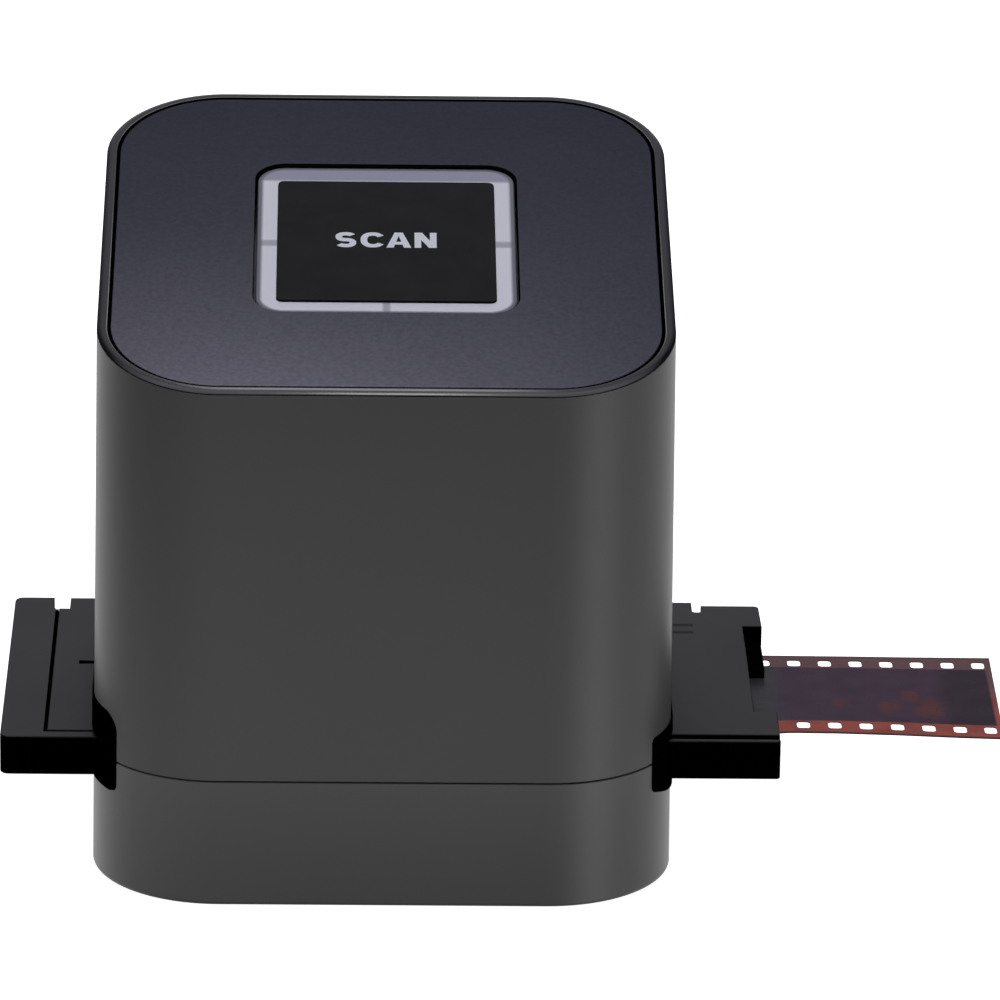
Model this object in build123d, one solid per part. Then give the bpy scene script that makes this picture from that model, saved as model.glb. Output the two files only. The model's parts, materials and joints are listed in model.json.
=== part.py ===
from build123d import *
import math
import os

os.makedirs("parts", exist_ok=True)

# ---------------------------------------------------------------- dimensions
# Millimetres.  +X to the right, +Y to the rear, +Z up.  The origin is the
# centre of the underside, on the plane that the anti-slip mat rests on.

Z0 = 0.5                 # underside of the base housing; the mat stands proud
BODY_W = 86.6            # width of the body at its foot
BODY_D = 88.0            # depth of the body at its foot
BODY_R = 19.0            # vertical corner radius at the foot
DRAFT = 0.5              # draft of all four sides, degrees
WALL = 2.2               # wall of both housings
FLOOR = 2.4              # floor of the base housing
SEAM_LO = 19.95          # top of the base housing's outer wall
SEAM_HI = 20.30          # bottom edge of the upper housing

TOP_FRONT_Z = 80.31      # height of the sloping top at y = -BODY_D / 2
TOP_SLOPE = 12.90        # slope of the top, degrees
RIM_W = 1.58             # width of the glossy rim
GROOVE_W = 0.48          # groove between the rim and the matte panel
RIM_H = 0.34             # thickness of the rim
PANEL_T = 1.0            # thickness of the matte panel

BTN_V = 45.73            # centre of the button, measured up the slope
OPEN_W, OPEN_L, OPEN_R = 39.6, 43.95, 4.7
FRAME_W, FRAME_L, FRAME_R = 38.85, 43.15, 4.3
FRAME_TOP, PLATE_TOP = -0.55, -0.20  # tops of the frame and of the plate, below the panel
PLATE_W, PLATE_L, PLATE_R = 32.6, 35.2, 0.9
PLATE_V = 45.02
BTN_TRAVEL = 0.8

HOLD_X0, HOLD_X1 = -57.0, 59.4      # film holder, left and right ends
HOLD_Y = 30.2                       # half of its width
HOLD_Z0, HOLD_Z1 = 15.8, 21.85      # underside and top
TRAY_T = 1.65                       # tray floor
FILM_Z0, FILM_T = 17.52, 0.15
FILM_W = 35.0
FILM_X0, FILM_X1 = -53.3, 94.2
PERF_X0, PERF_PITCH = 63.69, 4.75
PERF_L, PERF_H, PERF_ROW = 1.98, 2.80, 28.17   # along the strip, across it, between the rows
GATE_W, GATE_L = 36.4, 24.4         # picture window

LEFT_SLOT_Y, LEFT_SLOT_Z, LEFT_SLOT_R = 36.2, 27.5, 3.0
RIGHT_SLOT_Y, RIGHT_SLOT_Z, RIGHT_SLOT_R = 35.45, 24.2, 0.9
SLOT_Z0, SLOT_RB = 15.35, 1.1       # lower edge of both mouths and its corner radius
RIGHT_DIP = 1.8                     # the right mouth's lower lip falls away outwards

# ---------------------------------------------------------------- helpers
TAN_D = math.tan(math.radians(DRAFT))
SIN_T = math.sin(math.radians(TOP_SLOPE))
COS_T = math.cos(math.radians(TOP_SLOPE))

# local frame of the sloping top: x across, y up the slope, z out of it
top = Plane(origin=(0, -BODY_D / 2, TOP_FRONT_Z), x_dir=(1, 0, 0), z_dir=(0, -SIN_T, COS_T))


def box(x0, x1, y0, y1, z0, z1):
    return Pos((x0 + x1) / 2, (y0 + y1) / 2, (z0 + z1) / 2) * Box(x1 - x0, y1 - y0, z1 - z0)


def cyl(x, y, z0, z1, r):
    return Pos(x, y, (z0 + z1) / 2) * Cylinder(r, z1 - z0)


def tbox(x0, x1, v0, v1, w0, w1):
    return top.location * box(x0, x1, v0, v1, w0, w1)


def tcyl(x, v, w0, w1, r):
    return top.location * cyl(x, v, w0, w1, r)


def rr(w, l, r, z0, z1, cx=0.0, cy=0.0):
    """rounded rectangular block"""
    return extrude(Pos(cx, cy, z0) * RectangleRounded(w, l, r), amount=z1 - z0)


def trr(w, l, r, v, w0, w1):
    return top.location * rr(w, l, r, w0, w1, 0, v)


def shell(inset, height=112.0, z=Z0):
    """drafted body form, its sides moved inwards by inset"""
    k = (z - Z0) * TAN_D + inset
    s = Pos(0, 0, z) * RectangleRounded(BODY_W - 2 * k, BODY_D - 2 * k, BODY_R - k)
    return extrude(s, amount=height, taper=DRAFT)


def slab(w0, w1):
    return tbox(-70, 70, -20, 115, w0, w1)


def yz_prism(x0, x1, pts):
    """prism along X from a closed outline in the YZ plane"""
    w = Polyline(*[(x0, y, z) for y, z in pts], close=True)
    return extrude(make_face(w), amount=x1 - x0, dir=(1, 0, 0))


def xz_prism(y0, y1, pts):
    w = Polyline(*[(x, y0, z) for x, z in pts], close=True)
    return extrude(make_face(w), amount=y1 - y0, dir=(0, 1, 0))


def both(fn):
    return [fn(-1), fn(1)]


def four(xs, ys, fn):
    return [fn(sx * xs, sy * ys) for sx in (-1, 1) for sy in (-1, 1)]


def save(name, *shapes):
    """one file for a node; several shapes stay separate solids"""
    solids = []
    for s in shapes:
        for q in (s if isinstance(s, (list, tuple)) else [s]):
            solids.extend(q.solids())
    obj = solids[0] if len(solids) == 1 else Compound(children=solids)
    export_step(obj, f"parts/{name}.step")


def cut_all(body, tools):
    for t in tools:
        body = body - t
    return body


def try_fillet(body, edges, r):
    edges = list(edges)
    for k in (1.0, 0.7, 0.45):
        try:
            out = fillet(edges, r * k)
            if out.is_valid and len(out.solids()) == len(body.solids()):
                return out
        except Exception:
            pass
    print("fillet left off, radius", r)
    return body


def at_w(edge, w, tol=0.02):
    p = top.to_local_coords(edge.center())
    return abs(p.Z - w) < tol


# ---------------------------------------------------------------- slots
def slot_tool(side, y, ztop, r, dip=0.0):
    """the mouth cut through one side wall, round-topped, for the film holder"""
    pts = [(36.9, SLOT_Z0), (41.0, SLOT_Z0), (43.6, SLOT_Z0 - dip), (60, SLOT_Z0 - dip), (60, ztop), (36.9, ztop)]
    if not dip:
        pts = [(36.9, SLOT_Z0), (60, SLOT_Z0), (60, ztop), (36.9, ztop)]
    b = xz_prism(-y, y, pts)
    b = fillet(b.edges().filter_by(Axis.X).group_by(Axis.Z)[-1], r)
    low = [e for e in b.edges() if e.center().Z < SLOT_Z0 + 0.01 and abs(e.center().Y) > y - 0.01]
    b = try_fillet(b, low, SLOT_RB)
    if side < 0:
        b = mirror(b, about=Plane.YZ)
    return b


left_slot = slot_tool(-1, LEFT_SLOT_Y, LEFT_SLOT_Z, LEFT_SLOT_R)
right_slot = slot_tool(1, RIGHT_SLOT_Y, RIGHT_SLOT_Z, RIGHT_SLOT_R, RIGHT_DIP)

# corner screw columns
SCREW_X, SCREW_Y = 33.2, 35.2

# ---------------------------------------------------------------- base housing
outer = shell(0, SEAM_LO - Z0)
outer = try_fillet(outer, outer.edges().group_by(Axis.Z)[0], 0.8)
base = outer - (shell(WALL) & box(-60, 60, -60, 60, Z0 + FLOOR, 60))
lip = (shell(1.0) - shell(WALL)) & box(-60, 60, -60, 60, SEAM_LO - 0.6, SEAM_HI)
base = base + lip
tongue = (shell(2.3) - shell(3.5)) & box(-23, 23, -60, 60, 17.2, 22.2)
ledge = (shell(WALL - 0.3) - shell(3.5)) & box(-23, 23, -60, 60, 17.2, SEAM_LO)
base = base + tongue + ledge
base = base + four(SCREW_X, SCREW_Y, lambda x, y: cyl(x, y, Z0 + 1.0, SEAM_HI, 3.6))
# posts with studs that carry the lower film gate, and stand-offs for the light board
base = base + four(32.0, 26.0, lambda x, y: cyl(x, y, Z0 + 1.0, 14.6, 3.0) + cyl(x, y, 14.5, 15.6, 1.5))
base = base + four(24.0, 19.5, lambda x, y: cyl(x, y, Z0 + 1.0, 4.6, 2.5))
base = cut_all(base, four(SCREW_X, SCREW_Y, lambda x, y: cyl(x, y, 0, 10.0, 2.95) + cyl(x, y, 9, 30, 1.7)))
base = cut_all(base, four(24.0, 19.5, lambda x, y: cyl(x, y, 2.4, 5.0, 0.92)))
base = base - rr(60.4, 60.4, 8.2, 0.0, 1.0)
base = base - left_slot - right_slot
save("base_housing", base)

mat = rr(60, 60, 8, 0.0, 1.0)
mat = try_fillet(mat, mat.edges().group_by(Axis.Z)[0], 0.25)
mat = cut_all(mat, [rr(48 - 6 * i, 48 - 6 * i, 6.5, -0.1, 0.25) - rr(46.6 - 6 * i, 46.6 - 6 * i, 5.8, -0.2, 0.3)
                    for i in range(5)])
save("antislip_mat", mat)

save("base_screws", four(SCREW_X, SCREW_Y, lambda x, y:
     (cyl(x, y, 8.0, 10.0, 2.7) + cyl(x, y, 9.9, 31.0, 1.5)) - (Pos(x, y, 8.4) * Box(0.7, 3.4, 1.2)) - (Pos(x, y, 8.4) * Box(3.4, 0.7, 1.2))))

# ---------------------------------------------------------------- upper housing
BOARD_Z = 66.0           # underside of the main board
BOARD_T = 1.6
USB_Z = BOARD_Z + BOARD_T + 1.95

up = (shell(0) & box(-60, 60, -60, 60, SEAM_HI, 130)) & slab(-130, -RIM_H - 0.07)
up = up - shell(WALL)
# rebate that seats the top bezel
up = up - (shell(1.0) & slab(-2.0, 5))
up = up + four(SCREW_X, SCREW_Y, lambda x, y: cyl(x, y, SEAM_HI, 34.0, 3.6))
for sx in (-1, 1):
    for sy in (-1, 1):
        y0, y1 = sorted((sy * 34.5, sy * 42.5))
        x0, x1 = sorted((sx * 19.0, sx * 29.0))
        up = up + (box(x0, x1, y0, y1, 24.3, 31.5) & shell(0.6))
    for v in (25.0, 64.0):
        x0, x1 = sorted((sx * 32.2, sx * 42.0))
        up = up + (tbox(x0, x1, v - 4, v + 4, -8.0, -6.0) & shell(0.6))
up = cut_all(up, four(SCREW_X, SCREW_Y, lambda x, y: cyl(x, y, 10, 32.0, 1.52)))
up = cut_all(up, four(24.0, 37.5, lambda x, y: cyl(x, y, 24.0, 30.2, 1.27)))
for sx in (-1, 1):
    for v in (25.0, 64.0):
        up = up - tcyl(sx * 35.5, v, -9, -5, 1.35)
# opening for the data socket, with a shallow recess round it
usb_cut = Pos(0, 42.5, USB_Z) * Rotation(90, 0, 0) * extrude(RectangleRounded(9.2, 5.4, 1.0), amount=6, both=True)
usb_recess = Pos(0, 43.85, USB_Z) * Rotation(90, 0, 0) * extrude(RectangleRounded(13.0, 9.0, 1.8), amount=0.9, both=True)
up = up - usb_cut - usb_recess
up = up - left_slot - right_slot
save("upper_housing", up)

# ---------------------------------------------------------------- rim, bezel, panel
EDGE_IN, EDGE_DOWN = 0.75, 0.30      # the rim's sloping outer edge


def section(inset, w):
    """outline of the body form on the plane at height w"""
    return (shell(inset) & slab(w, 5)).faces().sort_by(lambda f: top.to_local_coords(f.center()).Z)[0]


ring = (shell(0) & slab(-RIM_H, -EDGE_DOWN)) + loft([section(0, -EDGE_DOWN), section(EDGE_IN, 0)], ruled=True)
ring = ring - (shell(RIM_W) & slab(-5, 5))
save("top_rim", ring)

bez = (shell(1.1) & slab(-2.0, -RIM_H)) - (shell(RIM_W) & slab(-PANEL_T, 5))
bez = bez + trr(OPEN_W + 2.4, OPEN_L + 2.4, OPEN_R + 1.2, BTN_V, -5.0, -1.5)
for sx in (-1, 1):
    for v in (25.0, 64.0):
        bez = bez + tcyl(sx * 35.5, v, -6.0, -1.5, 2.7)
    for dv in (-14.0, 14.0):
        bez = bez + tcyl(sx * 24.5, BTN_V + dv, -10.0, -1.5, 2.5)
bez = bez - trr(OPEN_W, OPEN_L, OPEN_R, BTN_V, -8, 3)
for sx in (-1, 1):
    for v in (25.0, 64.0):
        bez = bez - tcyl(sx * 35.5, v, -7.0, -2.6, 1.12)
    for dv in (-14.0, 14.0):
        bez = bez - tcyl(sx * 24.5, BTN_V + dv, -11.0, -3.6, 0.92)
save("top_bezel", bez)

panel = (shell(RIM_W + GROOVE_W) & slab(-PANEL_T, 0)) - trr(OPEN_W, OPEN_L, OPEN_R, BTN_V, -8, 3)
panel = try_fillet(panel, [e for e in panel.edges() if at_w(e, 0)], 0.15)
save("top_panel", panel)

bz = []
for sx in (-1, 1):
    for v in (25.0, 64.0):
        bz.append(tcyl(sx * 35.5, v, -9.4, -8.0, 2.1) + tcyl(sx * 35.5, v, -8.1, -3.0, 1.1))
save("bezel_screws", bz)

# ---------------------------------------------------------------- scan button (moves)
fr = trr(FRAME_W, FRAME_L, FRAME_R, BTN_V, -6.2, FRAME_TOP)
fr = try_fillet(fr, [e for e in fr.edges() if at_w(e, FRAME_TOP)], 0.3)
fr = fr + trr(FRAME_W + 2.0, FRAME_L + 2.0, FRAME_R + 1.0, BTN_V, -6.2, -5.2)
fr = fr - trr(FRAME_W - 3.2, FRAME_L - 3.2, FRAME_R - 1.6, BTN_V, -7, -2.6)
fr = fr - trr(PLATE_W + 0.1, PLATE_L + 0.1, PLATE_R + 0.05, PLATE_V, -1.7, 1)
inner = trr(FRAME_W - 3.0, FRAME_L - 3.0, FRAME_R - 1.5, BTN_V, -4.4, -2.6)
fr = fr + (tbox(-0.5, 0.5, 10, 80, -4.2, -2.5) & inner) + (tbox(-30, 30, BTN_V - 0.5, BTN_V + 0.5, -4.2, -2.5) & inner)
fr = fr + tcyl(0, BTN_V, -7.0, -2.5, 3.0)
save("button_frame", fr)

plate = trr(PLATE_W, PLATE_L, PLATE_R, PLATE_V, -1.7, PLATE_TOP)
plate = try_fillet(plate, [e for e in plate.edges() if at_w(e, PLATE_TOP)], 0.12)
save("button_plate", plate)

save("switch_stem", tcyl(0, BTN_V, -9.0, -7.0, 1.7))

# ---------------------------------------------------------------- button board
BB = -11.6
bb = tbox(-27.5, 27.5, BTN_V - 18, BTN_V + 18, BB, -10.0)
for sx in (-1, 1):
    for dv in (-14.0, 14.0):
        bb = bb - tcyl(sx * 24.5, BTN_V + dv, -13, -9, 1.15)
save("button_board", bb)
save("tact_switch", tbox(-3.1, 3.1, BTN_V - 3.1, BTN_V + 3.1, -10.0, -7.9) - tcyl(0, BTN_V, -9.9, -7, 1.75))
save("button_leds", [tbox(sx * 15 - 1.5, sx * 15 + 1.5, BTN_V + dv - 0.8, BTN_V + dv + 0.8, -10.0, -8.9)
                     for sx in (-1, 1) for dv in (-10, 10)])
bs = []
for sx in (-1, 1):
    for dv in (-14.0, 14.0):
        bs.append(tcyl(sx * 24.5, BTN_V + dv, -12.8, -11.6, 1.9) + tcyl(sx * 24.5, BTN_V + dv, -11.7, -4.2, 0.9))
save("button_board_screws", bs)

# ---------------------------------------------------------------- mouth frames
CAP = shell(-0.3)         # the frames stand a little proud of the housing


def mouth(side, y, ztop, r, dip):
    tool = slot_tool(side, y - 0.1, ztop - 0.1, max(r - 0.1, 0.3), max(dip - 0.1, 0.0))
    m = (tool & CAP) & box(-60, 60, -60, 60, SLOT_Z0 - 3, 60)
    return m - box(-60, 60, -HOLD_Y - 0.4, HOLD_Y + 0.4, HOLD_Z0 - 0.15, 22.3)


lm = mouth(-1, LEFT_SLOT_Y, LEFT_SLOT_Z, LEFT_SLOT_R, 0.0)
rm = mouth(1, RIGHT_SLOT_Y, RIGHT_SLOT_Z, RIGHT_SLOT_R, RIGHT_DIP)
save("left_mouth_frame", lm)
save("right_mouth_frame", rm)

# ---------------------------------------------------------------- film gates
gate_lo = box(-36.85, 36.85, -31.4, 31.4, 14.6, 15.6)
win = loft([Pos(0, 0, 14.5) * Rectangle(GATE_W + 1.4, GATE_L + 1.4), Pos(0, 0, 15.8) * Rectangle(GATE_W + 0.4, GATE_L + 0.4)])
gate_lo = gate_lo - win
gate_lo = cut_all(gate_lo, four(32.0, 26.0, lambda x, y: cyl(x, y, 14, 16, 1.5)))
gate_lo = cut_all(gate_lo, [box(-8.2, 8.2, sy * 22.5 - 2, sy * 22.5 + 2, 14, 16) for sy in (-1, 1)])
save("lower_film_gate", gate_lo)

gate_hi = box(-36.85, 36.85, -31.4, 31.4, 22.3, 24.3) + box(-28.8, 28.8, -39.3, 39.3, 22.3, 24.3)
gate_hi = gate_hi + [box(-36.85, 36.85, 30.4, 31.4, 15.8, 22.4), box(-36.85, 36.85, -31.4, -30.4, 15.8, 22.4)]
gate_hi = gate_hi - loft([Pos(0, 0, 22.2) * Rectangle(GATE_W + 1.6, GATE_L + 1.6), Pos(0, 0, 24.4) * Rectangle(GATE_W + 4.4, GATE_L + 4.4)])
gate_hi = cut_all(gate_hi, four(24.0, 37.5, lambda x, y: cyl(x, y, 20, 26, 1.5)))
gate_hi = cut_all(gate_hi, four(27.0, 26.0, lambda x, y: cyl(x, y, 20, 26, 1.02)))
gate_hi = gate_hi - box(-7, 7, 33.0, 45, 20, 26)
save("upper_film_gate", gate_hi)
save("gate_screws", four(24.0, 37.5, lambda x, y: cyl(x, y, 20.8, 22.3, 2.3) + cyl(x, y, 22.2, 29.6, 1.25)))
save("light_seals", [box(sx * 33.5 - 2, sx * 33.5 + 2, -29, 29, 21.95, 22.3) for sx in (-1, 1)])

# leaf springs under the lower gate; the hump rests in the tray's notch
LEAF = [(-11.0, 14.35), (-7.0, 14.35), (-1.6, 16.3), (1.6, 16.3), (7.0, 14.35), (11.0, 14.35),
        (11.0, 14.6), (6.95, 14.6), (1.65, 16.55), (-1.65, 16.55), (-6.95, 14.6), (-11.0, 14.6)]
save("detent_springs", [xz_prism(sy * 22.5 - 1.5, sy * 22.5 + 1.5, LEAF) for sy in (-1, 1)])

# ---------------------------------------------------------------- light source
lb = box(-27, 27, -22.5, 22.5, 4.6, 5.8)
lb = cut_all(lb, four(24.0, 19.5, lambda x, y: cyl(x, y, 4, 6, 1.15)))
save("backlight_board", lb)
save("backlight_screws", four(24.0, 19.5, lambda x, y: cyl(x, y, 5.8, 7.0, 1.9) + cyl(x, y, 3.0, 5.9, 0.9)))
save("backlight_leds", [Pos(x, y, 6.75) * (Box(3.5, 2.8, 1.9) - Pos(0, 0, 0.75) * Cylinder(1.05, 0.6))
                        for x in (-11, 0, 11) for y in (-6.5, 6.5)])
lbx = box(-21.5, 21.5, -16.0, 16.0, 5.8, 12.8)
lbx = lbx - loft([Pos(0, 0, 5.7) * Rectangle(31, 20.5), Pos(0, 0, 12.9) * Rectangle(40.4, 28.4)])
save("light_box", lbx)
df = box(-21.5, 21.5, -16.0, 16.0, 12.8, 14.6)
save("diffuser", df)

# ---------------------------------------------------------------- optics
ch = loft([Pos(0, 0, 24.3) * Rectangle(46, 34), Pos(0, 0, 52.0) * Rectangle(20, 20)])
ch = ch + box(-28.8, 28.8, -28.5, 28.5, 24.3, 26.3)
ch = ch + cyl(0, 0, 48.0, 61.0, 9.6) + box(-10.5, 10.5, -10.5, 10.5, 59.5, 66.0)
ch = ch + four(25.5, 19.0, lambda x, y: cyl(x, y, 24.5, 66.0, 2.6))
ch = ch - loft([Pos(0, 0, 24.2) * Rectangle(GATE_W + 5.8, GATE_L + 5.8), Pos(0, 0, 50.0) * Rectangle(15.4, 15.4)])
ch = ch - cyl(0, 0, 49.0, 61.5, 7.05) - box(-8.9, 8.9, -8.9, 8.9, 61.2, 67)
ch = cut_all(ch, four(25.5, 19.0, lambda x, y: cyl(x, y, 58.0, 67.0, 0.92)))
ch = cut_all(ch, four(27.0, 26.0, lambda x, y: cyl(x, y, 24, 27, 1.2)))
save("optical_chassis", ch)
save("chassis_screws", four(27.0, 26.0, lambda x, y: cyl(x, y, 26.3, 27.6, 1.9) + cyl(x, y, 22.6, 26.4, 1.0)))


def lens(r, z0, z1, r_lo, r_hi):
    """glass element between z0 and z1 at its centre; r_lo and r_hi are the radii of its faces"""
    body = cyl(0, 0, z0, z1, r)
    if r_lo:
        body = body & (Pos(0, 0, z0 + r_lo) * Sphere(r_lo))
    if r_hi:
        body = body & (Pos(0, 0, z1 - r_hi) * Sphere(r_hi))
    return body


brl = cyl(0, 0, 49.6, 61.0, 7.0) - cyl(0, 0, 50.6, 62, 5.2) - cyl(0, 0, 49, 51, 4.2)
save("lens_barrel", brl)
save("front_lens", lens(5.15, 50.6, 53.2, 13.0, None))
save("aperture_ring", cyl(0, 0, 53.2, 54.6, 5.15) - cyl(0, 0, 53, 55, 1.6))
save("middle_lens", cyl(0, 0, 54.6, 56.4, 5.15) - (Pos(0, 0, 56.4 + 8.6) * Sphere(9.2)))
save("lens_spacer", cyl(0, 0, 56.4, 57.2, 5.15) - cyl(0, 0, 56, 58, 4.3))
save("rear_lens", lens(5.15, 57.2, 59.6, None, 15.0))
save("lens_retaining_ring", (cyl(0, 0, 59.2, 60.9, 5.15) - cyl(0, 0, 59, 61, 4.1)) - lens(5.2, 57.2, 59.62, None, 15.0))

# ---------------------------------------------------------------- main board
mb = box(-31, 31, -25, 39.6, BOARD_Z, BOARD_Z + BOARD_T)
mb = cut_all(mb, four(25.5, 19.0, lambda x, y: cyl(x, y, 60, 70, 1.15)))
save("main_board", mb)
save("main_board_screws", four(25.5, 19.0, lambda x, y: cyl(x, y, 67.6, 68.8, 1.9) + cyl(x, y, 59.0, 67.7, 0.9)))
save("image_sensor", box(-6, 6, -5.5, 5.5, 64.5, 66.0) - box(-4.6, 4.6, -4.1, 4.1, 64, 65.3))
save("sensor_filter", box(-4.55, 4.55, -4.05, 4.05, 64.5, 65.1))
save("board_chips", box(-16, -6, -8, 2, 67.6, 68.8), box(6, 17, -6, 2, 67.6, 68.7), box(-12, -7, 12, 16, 67.6, 68.6),
     box(10, 14, 12, 18, 67.6, 69.2), box(17, 28, 26, 29.5, 67.6, 71.0))
usb = Pos(0, 37.2, USB_Z) * (Box(7.7, 9.2, 3.9) - Pos(0, 0.5, 0) * Box(6.9, 9.2, 3.1))
save("usb_socket", usb)
save("usb_tongue", Pos(0, 36.55, USB_Z + 0.55) * Box(5.0, 6.1, 0.9) + Pos(0, 33.35, USB_Z) * Box(6.9, 0.5, 3.1))
save("ribbon_connectors", box(-6.5, 6.5, 17.6, 21.6, 5.8, 8.2), box(-6.5, 6.5, 33.8, 38.2, 63.0, 66.0),
     box(-6.5, 6.5, -13.2, -9.2, 67.6, 70.2))

# flat ribbon from the light board up the rear to the main board
rb = 3.0
h0, yv = 7.0, 36.0
flat = box(-5, 5, 21.6, yv - rb, h0, h0 + 0.3)
rise = box(-5, 5, yv, yv + 0.3, h0 + 0.3 + rb, 63.0)
q = Plane(origin=(-5, yv - rb, h0 + 0.3 + rb), x_dir=(0, 1, 0), z_dir=(1, 0, 0))
bend = extrude(q * (Circle(rb + 0.3) - Circle(rb)), amount=10) & box(-5, 5, yv - rb, yv + 1, h0 - 1, h0 + 0.3 + rb)
save("backlight_ribbon", flat + bend + rise)

# ribbon from the main board up to the button board: straight, one gentle bend, straight
RX = 8.0
yb = -11.2
p1 = 71.2
arc_c = Plane(origin=(-4, yb - RX, p1), x_dir=(0, 1, 0), z_dir=(1, 0, 0))
seg = extrude(arc_c * (Circle(RX + 0.15) - Circle(RX - 0.15)), amount=8)
a = math.radians(TOP_SLOPE)
wedge = yz_prism(-6, 6, [(yb - RX, p1), (yb + 20, p1), (yb + 20, p1 + 40 * math.tan(a))])
seg = seg & wedge
ye, ze = yb - RX + RX * math.cos(a), p1 + RX * math.sin(a)
end_loc = top.to_local_coords(Vector(0, ye, ze))
tail = tbox(-4, 4, end_loc.Y - 0.15, end_loc.Y + 0.15, end_loc.Z, -13.6)
print("button ribbon bend ends at w", end_loc.Z, "v", end_loc.Y)
save("button_ribbon", box(-4, 4, yb - 0.15, yb + 0.15, 70.2, p1) + seg + tail)
save("button_board_connector", tbox(-5.5, 5.5, end_loc.Y - 1.8, end_loc.Y + 1.8, -13.6, BB))

# ---------------------------------------------------------------- film holder (slides)
HX, HY = 27.9, 19.75       # hinge axis: y, z
NL0, NL1 = -50.9, -48.4    # notches in the rear edge
NR0, NR1 = 48.4, 49.8


def notches():
    n = box(NL0, NL1, 25.5, 40, 10, 30)
    r = box(NR0, NR1, 25.7, 40, 10, 30)
    r = fillet(r.edges().filter_by(Axis.Z).group_by(Axis.Y)[0], 0.6)
    return [n, r, box(NR1 - 0.01, 70, 28.6, 40, 10, 30)]


# the rear arm at the right end is a little shorter than the front one
arm_end = extrude(make_face(Polyline((58.63, 40, 10), (59.15, 5, 10), (70, 5, 10), (70, 40, 10), close=True)), amount=20, dir=(0, 0, 1))


def arm_edges(body):
    return body.edges().filter_by(Axis.Z).filter_by_position(Axis.X, 58.6, 59.1).group_by(Axis.Y)[-1]


tray = box(HOLD_X0, HOLD_X1, -HOLD_Y, HOLD_Y, HOLD_Z0, HOLD_Z1) - arm_end
tray = cut_all(tray, notches())
tray = try_fillet(tray, tray.edges().filter_by(Axis.Z).filter_by_position(Axis.X, HOLD_X0 - 0.1, HOLD_X0 + 0.1), 1.4)
tray = try_fillet(tray, arm_edges(tray), 0.8)
tray = try_fillet(tray, tray.edges().filter_by(Axis.Z).filter_by_position(Axis.X, HOLD_X1 - 0.1, HOLD_X1 + 0.1).group_by(Axis.Y)[0], 0.6)
tray = try_fillet(tray, tray.edges().group_by(Axis.Z)[-1], 0.22)
tray = try_fillet(tray, tray.edges().group_by(Axis.Z)[0], 0.22)
TF = HOLD_Z0 + TRAY_T
tray = tray - box(-50.6, 70, -28.1, 40, TF, 30)
# ledge that closes the groove at the cover's left end
tray = tray + box(-50.7, -49.2, -28.1, 25.5, TF - 0.1, 20.6)
tray = tray + box(-50.7, -50.1, 24.9, 25.5, TF - 0.1, 21.6)
tray = tray - box(42.0, 70, -29.35, -28.0, 19.6, 30)
tray = tray + [box(-50.7, 58.5, 17.75, 19.3, TF - 0.1, 18.55), box(-50.7, HOLD_X1 - 0.6, -19.3, -17.75, TF - 0.1, 18.55)]
tray = tray - box(-60, -49.0, -17.75, 17.75, TF, 18.7)
for sx in (-1, 1):
    x0, x1 = sorted((sx * 40.0, sx * 43.0))
    lug = box(x0, x1, HX - 1.9, HX + 1.9, TF - 0.1, HY) + (Pos((x0 + x1) / 2, HX, HY) * Rotation(0, 90, 0) * Cylinder(1.9, x1 - x0))
    tray = tray + lug
tray = tray - loft([Pos(0, 0, HOLD_Z0 - 0.1) * Rectangle(GATE_W + 4.0, GATE_L + 4.0), Pos(0, 0, TF + 0.1) * Rectangle(GATE_W, GATE_L)])
for sx in (-1, 1):
    x0, x1 = sorted((sx * 38.0, sx * 48.0))
    tray = tray - (Pos((x0 + x1) / 2, HX, HY) * Rotation(0, 90, 0) * Cylinder(0.8, x1 - x0))
# notches for the detent springs, and closed pockets for the catch magnets
tray = cut_all(tray, [xz_prism(sy * 22.5 - 2, sy * 22.5 + 2, [(-4.1, 15.7), (4.1, 15.7), (2.2, 16.8), (-2.2, 16.8)]) for sy in (-1, 1)])
MAG = [(-46.0, -24.0), (53.0, -24.0)]
tray = cut_all(tray, [cyl(x, y, 15, 17.1, 2.0) for x, y in MAG])
save("holder_tray", tray)

CZ = 18.7
cov = box(-50.05, HOLD_X1 + 0.0, -27.35, HOLD_Y - 0.15, CZ, HOLD_Z1)
cov = cut_all(cov - arm_end, notches())
cov = cov - box(-60, NL1, 25.3, 40, 10, 30)
# the right end is cut back over the film's width
cov = cov - box(55.95, 70, -17.6, 19.5, 10, 30)
cov = try_fillet(cov, arm_edges(cov), 0.8)
cov = try_fillet(cov, cov.edges().group_by(Axis.Z)[-1], 0.2)
cov = cov - box(-60, -49.1, -40, 40, 10, 20.75)
cov = cov - loft([Pos(0, 0, 17) * Rectangle(GATE_W - 0.2, GATE_L - 0.2), Pos(0, 0, HOLD_Z1 + 0.05) * Rectangle(GATE_W + 5.0, GATE_L + 5.0)])
platen = box(-48.9, 55.9, -17.2, 17.2, 18.4, CZ + 0.1) - box(-GATE_W / 2 - 0.1, GATE_W / 2 + 0.1, -GATE_L / 2 - 0.1, GATE_L / 2 + 0.1, 17, 20)
cov = cov + platen
# relief over the tray's guide ribs, which stand between the platen and the flanks
for sy in (-1, 1):
    y0, y1 = sorted((sy * 20.2, sy * 25.2))
    for x0, x1 in ((-47.5, -3.0), (3.0, 37.5)):
        cov = cov - box(x0, x1, y0, y1, CZ - 0.1, 20.4)
for sx in (-1, 1):
    x0, x1 = sorted((sx * 39.8, sx * 43.2))
    cov = cov - box(x0, x1, HX - 2.15, 40, 10, 21.9 if sx else 0)
    x0, x1 = sorted((sx * 37.9, sx * 48.3))
    cov = cov - (Pos((x0 + x1) / 2, HX, HY) * Rotation(0, 90, 0) * Cylinder(0.85, x1 - x0))
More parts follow.
